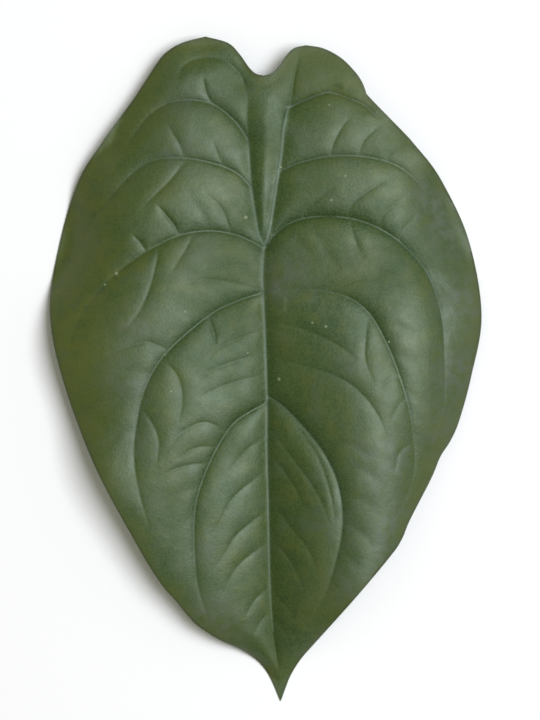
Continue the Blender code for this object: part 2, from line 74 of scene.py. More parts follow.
RIGHT_SIDE = [(57.4, 92), (70.2, 76), (81.4, 52), (86.3, 22), (82.2, -2.4), (77.4, -20),
              (73.8, -28.2), (69.8, -34.4), (66, -43.2), (57.4, -59.6), (53.8, -67.8), (47.8, -76),
              (20.6, -108), (13.8, -116.2), (10, -122.4), (8, -127.2), (6, -132.8)]
STRETCHES = [LEFT_SIDE, LEFT_CROWN, LEFT_OF_NOTCH, RIGHT_OF_NOTCH, RIGHT_CROWN, RIGHT_SIDE]
print(len(STRETCHES), "stretches of margin,", sum(len(s) - 1 for s in STRETCHES), "points")

# %% [markdown]
# ## The veins
# The midrib and two ribs that run back into the lobes form the spine of the fold. Eleven main side
# veins leave them, and some seventy-five branch veins fill the panels between. On the real leaf each
# vein lies in a groove of the upper face and stands out as a rib beneath, so every line drawn here
# is used three times: for the groove, for the rib and for colour.

# %% The spine and its junction
MIDRIB = [(-0.6, 49.6), (-1.2, 40), (-0.8, 28), (0, 10), (0.6, -10), (0.6, -32), (1.2, -56),
          (1.8, -84), (3.2, -106), (4.6, -115.2), (5.8, -124), (6, -130.8)]
LEFT_BACK_RIB = [(-0.6, 49.6), (-2.6, 53.6), (-3.8, 60), (-5.6, 72.8), (-6.6, 87.2), (-7.4, 98),
                 (-7.4, 108.8), (-8.4, 113.6)]
RIGHT_BACK_RIB = [(-0.6, 49.6), (0.8, 52.8), (2.8, 64), (4.6, 76), (6.2, 86), (7.2, 96.8),
                  (9, 104.4)]
JUNCTION = MIDRIB[0]
WEDGE_CREST = [(-0.2, 57), (-0.2, 66), (0.2, 76), (0.4, 86), (0.6, 96), (0.6, 106)]
SPINE = [MIDRIB, LEFT_BACK_RIB, RIGHT_BACK_RIB]
print(len(SPINE), "ribs of the spine meet at", JUNCTION)

# %% [markdown]
# Each side vein leaves the spine, curves out toward the margin and then runs on beside it. Its
# points go from the thick end to the thin end, so that it can fade along the way.

# %% Main side veins
LEFT_LOBE_VEIN = [(-8.4, 113.6), (-10.2, 118), (-16.2, 123.6), (-21.4, 124.6), (-27.4, 124),
                  (-32.2, 121.6), (-34.8, 116.8), (-34.8, 109.6)]
LEFT_TOP_VEIN = [(-7, 92), (-12.2, 99.2), (-20.2, 105.6), (-29.4, 107.6), (-38.6, 106.4), (-47, 100.8),
                 (-54.6, 90.4), (-57.8, 84)]
LEFT_UPPER_VEIN = [(-5.8, 72.8), (-11.8, 78.8), (-21.4, 82.4), (-33, 84.4), (-44.6, 83.4), (-52.6, 78.4),
                   (-61.4, 69.2), (-70.2, 56.8), (-73, 49.6)]
LEFT_FIRST_VEIN = [(-1, 48.8), (-11, 53.6), (-22.2, 55.4), (-33.4, 53.8), (-43.4, 49.4), (-53.4, 43),
                   (-64.2, 33.8), (-73.4, 22), (-76.6, 15.2), (-77.8, 7.2)]
LEFT_SECOND_VEIN = [(-1.2, 30.8), (-11, 27.6), (-21.4, 22.4), (-35, 11.2), (-43, 2), (-48.2, -8.8),
                    (-51, -20.8), (-52.2, -34), (-50.2, -48), (-46.2, -61.6)]
LEFT_THIRD_VEIN = [(0.6, -12.8), (-11.4, -20), (-17.8, -28.4), (-23.4, -39.6), (-27.6, -52.8),
                   (-28.4, -68), (-27, -85.2), (-22.6, -100)]
RIGHT_LOBE_VEIN = [(9, 104.4), (14.6, 107.2), (22.6, 110.2), (25.4, 110.8), (32.6, 108.6), (40.2, 105.2),
                   (43.8, 101.2)]
RIGHT_UPPER_VEIN = [(5.8, 79.2), (13.8, 82.6), (26.6, 85.2), (41.8, 84.6), (54.2, 80.4), (64.6, 70.4),
                    (72.2, 57.6), (75, 50)]
RIGHT_FIRST_VEIN = [(-0.6, 48), (4.6, 54.8), (13, 59.8), (25, 61.2), (37.8, 59.4), (49.8, 53.8),
                    (59, 45.6), (65.4, 36.4), (70.2, 20.8), (71.2, 0), (70.8, -13.6), (65.8, -30.8)]
RIGHT_SECOND_VEIN = [(-0.8, 31.2), (12, 31.8), (24, 31.4), (34, 28.4), (40.8, 23), (45.4, 16),
                     (51.4, 2.8), (57, -15.6), (59.2, -34.4), (57.4, -46), (52.2, -57.6)]
RIGHT_THIRD_VEIN = [(1, -10.4), (8.2, -15.4), (19, -27.2), (25.4, -36.8), (29.4, -47.6), (30.6, -59.6),
                    (29, -72), (23.8, -89.2), (17.8, -99.2)]
SIDE_VEINS = [LEFT_LOBE_VEIN, LEFT_TOP_VEIN, LEFT_UPPER_VEIN, LEFT_FIRST_VEIN, LEFT_SECOND_VEIN,
              LEFT_THIRD_VEIN, RIGHT_LOBE_VEIN, RIGHT_UPPER_VEIN, RIGHT_FIRST_VEIN, RIGHT_SECOND_VEIN,
              RIGHT_THIRD_VEIN]
print(len(SIDE_VEINS), "side veins")

# %% [markdown]
# Branches leave the side veins and the midrib. They are sorted by how clearly they show: most are
# slight, a few are as crisp as notches, and some are hardly more than a ripple.

# %% Branch veins
LEFT_BRANCHES = [
    [(-32.6, 84.8), (-33.8, 88.8), (-35.8, 92.4), (-39.8, 99.2)],
    [(-31.4, 84), (-37.8, 75.6), (-50.2, 63.2)],
    [(-16.6, 81.2), (-18.6, 84.8), (-21.4, 92.4)],
    [(-14.2, 55.6), (-15.8, 60.8), (-18.2, 65.2), (-24.2, 70.8)],
    [(-28.6, 54.4), (-31, 49.2), (-37.8, 38)],
    [(-42.6, 49.2), (-43, 44), (-45.8, 32.8), (-49.8, 23.6), (-55.4, 16)],
    [(-0.6, 16), (-11, 12.4), (-19.8, 8), (-25, 0.8)],
    [(-0.2, 7.2), (-13, 3.2), (-22.2, -0.4), (-28.6, -5.2)],
    [(0.2, -1.6), (-12.6, -4.8), (-23, -9.2), (-26.6, -12.4)],
    [(-41.4, 3.6), (-37.8, 1.6), (-34.2, -4), (-33, -12), (-34.6, -22.4)],
    [(-38.2, 7.6), (-43.8, 10.4), (-49, 11), (-63.4, 6)],
    [(-48.6, -15.6), (-43.8, -23.2), (-42.2, -30), (-43.4, -38)],
    [(-19.4, -30.8), (-24.6, -30.4), (-29.4, -31.6), (-37, -37.2)],
    [(-15.4, -25.6), (-20.6, -21.6), (-25.4, -20.8), (-33.4, -24.8), (-39, -31.6)],
    [(-22.6, -37.6), (-27.8, -37.2), (-37.4, -40), (-45.4, -46)],
    [(0.6, -40), (-6.6, -45.2), (-13.4, -51.6), (-17.8, -60), (-23.4, -68.4)],
    [(1, -55.2), (-5.8, -60.8), (-11.8, -66), (-16.2, -73.2), (-21, -80.4)],
    [(1.4, -68.4), (-6.2, -73.8), (-11.8, -79), (-15.4, -86.4), (-16.6, -91.6)],
    [(1.8, -86.4), (-4.6, -92.2), (-8.6, -100)],
    [(2.2, -96), (-2.2, -100.8), (-4.6, -106.4)],
    [(0.6, -26.4), (-8.2, -32.4), (-14.6, -40.8), (-17, -45.6)],
    [(-1.4, 40.8), (-8.2, 41.6), (-15, 41.2), (-27.8, 37.6)],
    [(-1.4, 32), (-10.2, 34), (-23.8, 36), (-36.6, 32.8)],
]
RIGHT_BRANCHES = [
    [(25.8, 85.2), (27, 90), (31, 97.6), (34.2, 100.4)],
    [(37, 85), (38.2, 89.2), (40.2, 92.8), (46.2, 97.6)],
    [(47.8, 83.2), (49.4, 86.4), (54.6, 89.6)],
    [(32.6, 60.8), (33.8, 64.6), (37.4, 68.8), (49.8, 76.8)],
    [(13.8, 60), (16.6, 64), (28.2, 73.6)],
    [(45, 56.8), (47.4, 62.4), (56.6, 70)],
    [(53, 51.6), (54.6, 55.6), (60.2, 61.6)],
    [(33.8, 60.4), (34.6, 55.2), (37.4, 47.2), (40.2, 44)],
    [(21, 31.6), (29.8, 33.6), (39.4, 36.6), (43.8, 35.2)],
    [(41, 23.2), (39.8, 12.8), (39.6, 4), (43.4, -6)],
    [(1.8, 19.2), (17, 15.6), (29.8, 9.2), (39, 1.6)],
    [(2.6, 4.8), (17, 1.2), (29, -2.8), (38.2, -9.4), (45, -18.8), (48.6, -30), (51.4, -42)],
    [(55.8, -11.6), (53, -13.8), (49.4, -20.8)],
    [(58.6, -29.2), (55, -31), (52.6, -34), (51.4, -41.6)],
    [(53, -2.8), (49.8, -2.8), (45, -7.6)],
    [(1, -22), (9.8, -34), (16.2, -42.2), (22.2, -52), (25.8, -62.4)],
    [(1.4, -51.2), (9.8, -62.4), (17.4, -71.8), (21, -82.4)],
    [(1.8, -66.4), (9.8, -76), (15.4, -87.2)],
    [(2.2, -88), (8.6, -94.8), (11.8, -98.8)],
    [(2.6, -98), (7.4, -104.4), (9, -108.8)],
    [(1, -32), (10.6, -44.8), (16.6, -57.2)],
    [(14, -24), (20.6, -34), (25, -46), (27.4, -58), (27, -68)],
]
STRONG_BRANCHES = [
    [(9.4, 104.4), (10.6, 110), (11.4, 116), (13.4, 125.6)],
    [(-21, 106.2), (-23.4, 109.6), (-25, 116.8)],
    [(-34.6, 54), (-36.6, 58), (-43.4, 66)],
    [(-47.8, 47.6), (-49.4, 50.4), (-53, 54)],
    [(-22.6, 21.2), (-20.2, 14), (-20.2, 8.4)],
    [(25.6, 111.4), (27.6, 112.6), (31, 112.2)],
]
FAINT_BRANCHES = [
    [(45.8, 15.6), (51.8, 16.8), (57.4, 15.6), (66.2, 8.4)],
    [(50.2, 5.2), (55, 5.2), (59.4, 2.8), (66.6, -5.2)],
    [(54.6, -7.2), (58.6, -10), (65.4, -18)],
    [(57.4, -16.8), (60.6, -19.2), (66.2, -26.8)],
    [(30.2, -51.2), (34.2, -50.4), (42.2, -53.6), (47.8, -62.4)],
    [(30.6, -60.4), (35, -62.2), (41.4, -68), (43.4, -72.4)],
    [(28.6, -43.6), (33.4, -39.6), (38.6, -39.6), (50.2, -48.8)],
    [(22.6, -31.6), (27.8, -29.2), (33.8, -29.6), (43, -35.6)],
    [(0.2, 43.2), (7.8, 44.8), (23.8, 44.8), (35.8, 38.8)],
    [(28.2, -71.2), (32.2, -73.2), (37.8, -80.4)],
    [(70.2, 20.8), (73.4, 16), (77.8, 3.2)],
    [(71, 4), (75.4, -8), (75.8, -14.4)],
    [(65.4, 36.4), (69.8, 34.4), (77, 25.6)],
    [(58.6, 46), (63.8, 45.6), (72.6, 39.2)],
    [(-45.8, -2.8), (-50.2, -0.6), (-55.8, -0.6), (-63.8, -4.4)],
    [(-48.2, -11.6), (-57.8, -12.6), (-64.6, -18)],
    [(-51.4, -22.8), (-59, -24.8), (-63.8, -31.6)],
    [(-52.2, -32.8), (-55.4, -34), (-60.2, -40)],
    [(-25.8, -46), (-39.8, -51.6), (-45.8, -58.4)],
    [(-28.2, -58), (-34.2, -61.6), (-40.2, -66.8)],
    [(-22.6, 56), (-23.8, 60.4), (-27, 64.8), (-33, 71.2)],
    [(18.6, 60.6), (20.2, 54), (26.6, 48.4)],
    [(23.6, 47), (27, 43), (30.6, 38.4)],
    [(12.6, 51), (17.8, 46.4), (20.2, 40.6)],
]

BRANCHES = LEFT_BRANCHES + RIGHT_BRANCHES
print(len(BRANCHES), "plain,", len(STRONG_BRANCHES), "strong and", len(FAINT_BRANCHES), "faint branches")

# %% [markdown]
# Small marks age a leaf: pale specks where something nibbled or splashed, and a short pale streak
# beside the midrib. Each speck gets a ring of points of its own later, so it stays round.

# %% Specks and a streak
SPECKS = [(-7.8, 60.8), (26.2, 67.6), (31.8, 77.2), (-59.2, 38.4), (-63.8, 34), (18.6, 18.8),
          (24, 17.3), (49, 11.2), (-39.8, 6), (-37.4, -8.4), (-31.8, 23.2), (6.2, 80.8),
          (25.4, 105.6), (-7, 6.8), (5.4, -3.6)]
SPECK_SIZES = [1, 0.7, 0.6, 1, 0.7, 0.7, 0.8, 0.7, 0.5, 0.6, 0.6, 0.7, 0.6, 0.5, 0.9]
STREAK = [(7.8, 28.4), (7.9, 26), (7.6, 24)]
print(len(SPECKS), "specks and a streak")

# %% [markdown]
# The green of a leaf isn't even. Some areas have yellowed, some are a deeper green that is partly
# painted shade, some carry painted sheen, a pale grey-green highlight laid into the colour, and
# some are duller than the rest. They could be brushed on by hand. Soft round spots, each with a
# centre, a spread and a strength, are easier to move and to tell apart.

# %% Where the green changes
YELLOWED = [((-84, 36), 26, 1), ((-82, 5), 22, 1), ((-70, 72), 18, 0.9),
            ((-50, 108), 16, 0.8), ((-72, -26), 16, 0.7), ((20, -92), 12, 0.7),
            ((8, -118), 9, 0.5), ((-18, -105), 9, 0.7), ((-60, 42), 9, 0.7),
            ((44, 41), 5.5, 1), ((34, 34), 6, 0.9), ((-37, 46), 6, 0.9),
            ((-47, 40), 5, 0.8), ((70, -44), 10, 0.5), ((-52, 22), 6, 0.6),
            ((-36, -2), 5, 0.7), ((20, 118), 12, 0.9), ((36, 112), 9, 0.8),
            ((30, 96), 7, 0.5), ((-38, 72), 7, 0.7), ((-28, 127), 9, 0.7),
            ((6, -126), 8, 0.4), ((10, 12), 7, 0.5), ((14, -98), 9, 0.4)]
# A deeper green that is partly painted shade.
DEEP_GREEN_AND_SHADE = [((49, 36), 8, 0.8), ((34, 24), 10, 0.9), ((16, 20), 10, 0.7),
              ((50, 22), 6, 0.6), ((-13, -32), 6, 0.4), ((-35, -62), 8, 0.4),
              ((40, -58), 7, 0.5), ((-12, 6), 12, 0.4), ((2, 98), 8, 0.4),
              ((20, -50), 10, 0.5), ((38, -22), 8, 0.4), ((12, -103), 10, 0.8),
              ((9, -90), 9, 0.4), ((-30, 66), 7, 0.4), ((14, -112), 7, 0.5),
              ((7, -128), 6, 0.9), ((14, -84), 8, 0.4), ((38, 78), 8, 0.4),
              ((20, 96), 7, 0.4), ((44, 61), 5, 0.7), ((56, 53), 5.5, 0.9),
              ((63, 44), 5, 0.7), ((46, 46), 6, 0.5), ((-10, 22), 8, 0.3),
              ((21, 119), 8, 0.3), ((-24, 58), 6, 0.4), ((-56, 44), 5, 0.5)]
# Painted sheen: a pale grey-green highlight laid into the colour where the gloss catches the light.
PAINTED_SHEEN = [((73, 54), 10, 0.9), ((65, 68), 9, 0.9), ((-26, 47), 7, 0.6),
         ((79, 28), 12, 0.9), ((76, 0), 12, 0.9), ((68, -24), 12, 0.6),
         ((46, -38), 12, 0.8), ((34, -87), 9, 0.6), ((46, -72), 9, 0.8),
         ((50, -58), 8, 0.8), ((-50, 16), 9, 0.8), ((-53, -6), 8, 0.8),
         ((-51, -28), 8, 0.5), ((-45, -52), 8, 0.2), ((-34, 87), 9, 0.7),
         ((30, 90), 11, 0.2), ((10, 40), 9, 0.7), ((-22, -96), 8, 0.8),
         ((-12, -103), 7, 0.6), ((4, 32), 5, 0.8), ((-30, 108), 9, 0.6),
         ((-24, -72), 7, 0.6), ((28, -62), 7, 0.7), ((34, 2), 8, 0.5)]
DULL = [((18, 118), 11, 1), ((34, 115), 8, 0.9), ((-10, 44), 9, 0.7),
        ((50, 36), 9, 1), ((58, 50), 7, 0.8), ((55, 93), 8, 0.9),
        ((82, 58), 8, 1), ((2, 92), 9, 0.6), ((40, -56), 7, 0.5),
        ((-20, 37), 14, 0.7), ((-8, 62), 8, 0.6), ((9, -100), 9, 0.8),
        ((12, -112), 9, 0.7), ((30, 118), 12, 0.6), ((-10, 22), 9, 0.6),
        ((64, 43), 5, 0.9), ((68, 30), 4, 0.8), ((45, 61), 5, 0.7),
        ((9, -122), 6, 0.6), ((16, -86), 10, 0.7), ((17, 122), 7, 0.5),
        ((76, 64), 6, 0.6), ((6, -126), 10, 1), ((-36, -54), 9, 0.5),
        ((-12, 8), 14, 0.4), ((-10, 112), 7, 0.7), ((-12, 94), 6, 0.5),
        ((-12, -30), 7, 0.5), ((-34, 128), 6, 0.5), ((20, 76), 7, 0.4)]
# Of the spots counted here, the deep green ones are partly painted shade, the pale ones painted sheen.
print(len(YELLOWED), "yellowed spots,", len(DEEP_GREEN_AND_SHADE), "of deep green")
print(len(PAINTED_SHEEN), "spots of waxy bloom,", len(DULL), "dull ones")

# %% [markdown]
# ## From points to curves
# A curve object would do, but its handles would be a second set of numbers. The curve made here
# passes through the points themselves, and is then cut into even steps.

# %% Smooth curves and distances
STEPS_PER_SPAN = 12
POINTS_AT_A_TIME = 4000


def curve(points, step):
    """A smooth curve through a few points, cut into points about one step apart."""
    knots = np.array(points, dtype=float)
    ends = np.vstack([2 * knots[0] - knots[1], knots, 2 * knots[-1] - knots[-2]])
    t = np.arange(STEPS_PER_SPAN)[:, None] / STEPS_PER_SPAN
    spans = []
    for a, b, c, d in zip(ends[:-3], ends[1:-2], ends[2:-1], ends[3:]):
        spans.append(0.5 * (2 * b + (c - a) * t + (2 * a - 5 * b + 4 * c - d) * t ** 2
                            + (3 * b - a - 3 * c + d) * t ** 3))
    fine = np.vstack(spans + [knots[-1:]])
    run = np.concatenate([[0], np.cumsum(np.linalg.norm(np.diff(fine, axis=0), axis=1))])
    stops = np.linspace(0, run[-1], max(2, round(run[-1] / step) + 1))
    return np.column_stack([np.interp(stops, run, fine[:, axis]) for axis in (0, 1)])


def nearest(route, plan):
    """Distance of each plan point from a route, how far along it, 0 to 1, and 1 on its left side."""
    start, run = route[:-1], np.diff(route, axis=0)
    gaps, places, sides = [], [], []
    for some in np.array_split(plan, len(plan) // POINTS_AT_A_TIME + 1):
        offset = some[:, None] - start
        along = np.clip((offset * run).sum(2) / (run ** 2).sum(1), 0, 1)
        gap = np.linalg.norm(offset - along[..., None] * run, axis=2)
        first = gap.argmin(1)
        rows = np.arange(len(some))
        gaps.append(gap[rows, first])
        places.append((first + along[rows, first]) / len(run))
        away = offset[rows, first]
        sides.append(np.sign(run[first, 0] * away[:, 1] - run[first, 1] * away[:, 0]))
    return np.concatenate(gaps), np.concatenate(places), np.concatenate(sides)


def margin_loop(step):
    """The whole margin as one closed loop of points."""
    return np.vstack([curve(stretch, step)[:-1] for stretch in STRETCHES])


print("margin", round(len(margin_loop(1.0))), "mm round")

# %% [markdown]
# ## The arch
# Lying face up, the leaf is a shell: high along the fold, turned down at its margin, and touching
# the table at the tip and at both shoulders. It could be sculpted, but a short formula keeps it
# the same as the CAD model's: each half rises gently from the spine, then curls down to the edge.

# %% Sizes of the arch
MARGIN_STEP = 2.0
MARGIN_BLEND = 5.0
VEIN_STEP = 2.3
JUNCTION_HEIGHT = 14.5
DROP_TO_TIP = 14.1
TIP_BEND = 2.6
DROP_TO_NOTCH = 4.5
MARGIN_HEIGHT = 8.5
LEFT_FOLD, MORE_LEFT_FOLD_AT_TIP = 0.17, 0.28
RIGHT_FOLD, MORE_RIGHT_FOLD_AT_TIP = 0.13, 0.52
HALVES_BLEND = 5.0
CURL = 3.1
MARGIN_RISES = [((-0.8, 117.2), 22, 3), ((-84, -5), 38, 8), ((-78, -14), 22, -4),
                ((-66, -42), 22, 6), ((-50, -72), 38, 8), ((44, 106), 38, 2.5),
                ((64, 84), 22, 5), ((84, -5), 38, -3), ((48, -74), 38, 6),
                ((36, -90), 22, 5)]
REST_SPOTS = [(5, -128), (-81.5, 50), (78.5, 58)]
REST_SPREAD = 25.0
REST_DEPTH = 2.2
print("touches the table at", REST_SPOTS)

# %% Height of the arch
def bump(plan, centre, spread):
    """1 at the centre, falling away smoothly to 0."""
    return np.exp(-((plan - np.array(centre)) ** 2).sum(1) / spread ** 2)


def margin_distance(plan):
    """Distance from the margin, blended where two stretches are equally near."""
    gaps = [nearest(curve(stretch, MARGIN_STEP), plan)[0] for stretch in STRETCHES]
    total = sum(np.exp(-gap / MARGIN_BLEND) for gap in gaps)
    return np.maximum(-MARGIN_BLEND * np.log(total), 0)


def right_share(plan):
    """How far a plan point belongs to the right half, 0 to 1, blended across the spine."""
    spine_line = np.array(WEDGE_CREST[::-1] + MIDRIB)
    middle = np.interp(-plan[:, 1], -spine_line[:, 1], spine_line[:, 0])
    return 1 / (1 + np.exp((middle - plan[:, 0]) / HALVES_BLEND))


def arch(plan):
    """Height of the folded shell, and how far out toward the margin each point lies, 0 to 1."""
    down = np.clip((JUNCTION[1] - plan[:, 1]) / (JUNCTION[1] - LEFT_SIDE[0][1]), 0, 1)
    back = np.clip((plan[:, 1] - JUNCTION[1]) / (LEFT_CROWN[-1][1] - JUNCTION[1]), 0, 1)
    spine = JUNCTION_HEIGHT - DROP_TO_TIP * down ** TIP_BEND - DROP_TO_NOTCH * back ** 2
    rises = sum(rise * bump(plan, spot, spread) for spot, spread, rise in MARGIN_RISES)
    press = np.max([bump(plan, spot, REST_SPREAD) for spot in REST_SPOTS], axis=0)
    margin = (MARGIN_HEIGHT + rises) * (1 - press) - REST_DEPTH * press
    left_fold = LEFT_FOLD + MORE_LEFT_FOLD_AT_TIP * down
    right_fold = RIGHT_FOLD + MORE_RIGHT_FOLD_AT_TIP * down
    fold = left_fold + (right_fold - left_fold) * right_share(plan)
    from_spine = np.min([nearest(curve(rib, VEIN_STEP), plan)[0] for rib in SPINE], axis=0)
    width = from_spine + margin_distance(plan)
    outward = from_spine / width
    rim = spine + fold * width
    return spine + fold * from_spine - (rim - margin) * outward ** CURL, outward


print("arch at the junction", round(arch(np.array([JUNCTION]))[0][0], 1), "mm")

# %% [markdown]
# ## Valleys, fine lines and ribs
# Seen from above, the midrib is a fine raised pale line at the bottom of a soft valley, and every
# other vein a crisp crease in one. The valleys make the blade look quilted. They could be pulled
# down with a sculpting brush. A formula keeps each order of vein at its own depth and width, and
# the same lines give the ribs beneath.

# %% Sizes of each order of veins
ORDERS = {
    "spine": dict(veins=SPINE, groove=2.4, steep=3.4, wide=11.0, floor=0.5,
                  ridge=0.30, crease=0.0, line_width=0.60, pale=1.0, pale_width=0.42,
                  shade=0.7, shade_width=2.4, rib=2.2, rib_width=1.9),
    "side": dict(veins=SIDE_VEINS, groove=2.3, steep=3.2, wide=11.0, floor=0.3,
                 ridge=0.0, crease=0.22, line_width=0.55, pale=0.46, pale_width=0.42,
                 shade=1.0, shade_width=2.4, rib=1.1, rib_width=1.3),
    "branch": dict(veins=BRANCHES, groove=0.60, steep=1.4, wide=3.8, floor=0.3,
                   ridge=0.0, crease=0.06, line_width=0.45, pale=0.08, pale_width=0.30,
                   shade=0.5, shade_width=1.6, rib=0.4, rib_width=1.0),
    "strong": dict(veins=STRONG_BRANCHES, groove=1.1, steep=1.3, wide=3.4, floor=0.2,
                   ridge=0.0, crease=0.20, line_width=0.50, pale=0.0, pale_width=0.30,
                   shade=0.9, shade_width=1.8, rib=0.4, rib_width=1.0),
    "faint": dict(veins=FAINT_BRANCHES, groove=0.42, steep=1.8, wide=4.2, floor=0.5,
                  ridge=0.0, crease=0.0, line_width=0.45, pale=0.0, pale_width=0.30,
                  shade=0.35, shade_width=2.2, rib=0.3, rib_width=1.0),
}
STEEP_SHARE = 0.6
JOIN_POWER = 4
CLEAR_OF_MAIN = 3.5
FAR_REACH, NEAR_REACH, NEAR_SHADE = 1.6, 0.6, 0.6
FADE_POWER = 3
RIB_TAPER = 0.8
for name, order in ORDERS.items():
    print(name, len(order["veins"]), "veins,", order["groove"], "mm deep")

# %% [markdown]
# Few veins are alike all along. Those that leave the midrib gently start soft, the midrib's pale
# line ends before the tip, and a few veins are deeper, clearer or fainter than the rest. These are
# listed with the depth of their valley, the clearness of their line and how much that line thins.

# %% How clearly a vein shows
THINNING = 0.75
SOFT_START, SOFT_DEPTH, SOFT_POWER = 0.35, 0.4, 1.5
MIDRIB_THINNING, MIDRIB_LINE_END, MIDRIB_END_FADE = 0.5, 0.90, 0.14
APART = [(LEFT_LOBE_VEIN, 0.6, 0.3, 1), (RIGHT_LOBE_VEIN, 1, 1.8, 0.3),
         (RIGHT_BACK_RIB, 1, 1.8, 0.3), (RIGHT_FIRST_VEIN, 1.25, 1, 0.6),
         (LEFT_UPPER_VEIN, 0.8, 1, THINNING), (RIGHT_UPPER_VEIN, 0.8, 1, THINNING)]


def presence(name, vein, along):
    """Two factors along a vein: the depth of its valley and the clearness of its line."""
    whole = np.ones(len(along))
    on_midrib = abs(vein[0][0]) < 3 and vein[0][1] < JUNCTION[1]
    if vein is RIGHT_SECOND_VEIN or (name not in ("spine", "side") and on_midrib):
        show = np.clip(along / SOFT_START, 0, 1) ** SOFT_POWER
        return SOFT_DEPTH + (1 - SOFT_DEPTH) * show, show * (1 - THINNING * along)
    if vein is MIDRIB:
        line = np.clip((MIDRIB_LINE_END - along) / MIDRIB_END_FADE, 0, 1)
        return whole, (1 - MIDRIB_THINNING * along) * line
    for other, depth, clear, thinning in APART:
        if vein is other:
            return depth * whole, clear * (1 - thinning * along)
    return whole, 1 - THINNING * along


print(len(APART), "veins stand apart from the rest")

# %% [markdown]
# The valleys of the main veins are joined by a high power, so that they merge and don't dig twice.
# The branches' small valleys are added where those leave off. The green is darker beside a vein,
# more so on the outer side of the side veins and on the right of the spine's ribs: partly the
# deeper green a leaf has there, partly painted shade in the valleys.

# %% Relief of the veins
def vein_relief(plan):
    """Valley, line, rib, paleness of the line and painted shade beside it, for each plan point."""
    deep, fine, ridge, crease, rib, pale, shade = (np.zeros(len(plan)) for _ in range(7))
    to_main = np.full(len(plan), np.inf)
    for name, order in ORDERS.items():
        for vein in order["veins"]:
            gap, along, side = nearest(curve(vein, VEIN_STEP), plan)
            fade = 1 - along ** FADE_POWER
            # The painted shade beside a vein reaches further and is darker on its far side.
            far = (side if vein is MIDRIB or vein[-1][0] > 10 else -side) > 0
            reach = order["shade_width"] * np.where(far, FAR_REACH, NEAR_REACH)
            dark = order["shade"] * np.where(far, 1.0, NEAR_SHADE)
            cut, slim = presence(name, vein, along)
            rounded = np.hypot(gap, order["floor"]) - order["floor"]
            wall = (STEEP_SHARE * np.exp(-rounded / order["steep"])
                    + (1 - STEEP_SHARE) * np.exp(-rounded / order["wide"]))
            depth = order["groove"] * fade * wall * cut
            if name in ("spine", "side"):
                deep += depth ** JOIN_POWER
                to_main = np.minimum(to_main, gap)
            else:
                fine += depth ** JOIN_POWER
            crest = np.exp(-(gap / order["line_width"]) ** 2) * slim
            ridge = np.maximum(ridge, order["ridge"] * crest)
            crease = np.maximum(crease, order["crease"] * crest)
            pale = np.maximum(pale, order["pale"] * np.exp(-(gap / order["pale_width"]) ** 2) * slim)
            shade = np.maximum(shade, dark * fade * cut * np.exp(-gap / reach))
            swell = np.exp(-(gap / order["rib_width"]) ** 2) * (1 - RIB_TAPER * along)
            rib = np.maximum(rib, order["rib"] * swell)
    groove = deep ** (1 / JOIN_POWER)
    groove += fine ** (1 / JOIN_POWER) * (1 - np.exp(-to_main / CLEAR_OF_MAIN))
    line = ridge - crease * (1 - ridge / ORDERS["spine"]["ridge"])
    return groove, line, rib, pale, shade


print("valley at the junction", round(vein_relief(np.array([JUNCTION]))[0][0], 1), "mm")

# %% [markdown]
# ## The field of points
# A grid would cut across the fine lines. Here rows of points run along the margin and along all
# but the faint veins, and an even fill takes up the rest. A point that comes too near one placed
# before it is left out, so the triangles stay well shaped.

# %% Spacing of the points
MARGIN_SPACING = 1.1
MARGIN_GAP = 0.45
SPINE_ROWS = (0.45, 0.9, 1.5, 2.4, 3.3)
SIDE_ROWS = (0.4, 0.85, 1.5, 2.4, 3.3)
BRANCH_ROWS = (0.4, 0.9, 1.6)
ROW_STEP = 1.0
CLOSE_ROOM, ROW_ROOM = 0.36, 0.6
STREAK_STEP = 0.6
SPECK_ROOM = 0.3
FILL_SPACING = 1.25
FILL_ROOM = 0.85
CELL = 1.0
STALK_BASE = 5.0
STALK_SIDES = 28
print("rows", SPINE_ROWS, "mm from the spine and a fill", FILL_SPACING, "mm apart")

# %% Rows, rings and what lies inside
def beside(route, offset):
    """The two rows that run beside a route, one on each side."""
    tangent = np.gradient(route, axis=0)
    tangent /= np.linalg.norm(tangent, axis=1)[:, None]
    across = np.column_stack([-tangent[:, 1], tangent[:, 0]])
    return np.vstack([route + offset * across, route - offset * across])


def ring(centre, radius, count):
    """Points evenly round a centre."""
    angles = np.arange(count) * 2 * math.pi / count
    return np.array(centre) + radius * np.column_stack([np.cos(angles), np.sin(angles)])


def inside(plan, loop):
    """Which plan points lie inside a closed loop, by counting the crossings of a ray."""
    ahead = np.roll(loop, -1, axis=0)
    rise = np.where(ahead[:, 1] == loop[:, 1], 1e-9, ahead[:, 1] - loop[:, 1])
    answer = []
    for some in np.array_split(plan, len(plan) // POINTS_AT_A_TIME + 1):
        x, y = some[:, None, 0], some[:, None, 1]
        straddles = (loop[:, 1] > y) != (ahead[:, 1] > y)
        crossing = loop[:, 0] + (y - loop[:, 1]) / rise * (ahead[:, 0] - loop[:, 0])
        answer.append((straddles & (x < crossing)).sum(1) % 2 == 1)
    return np.concatenate(answer)


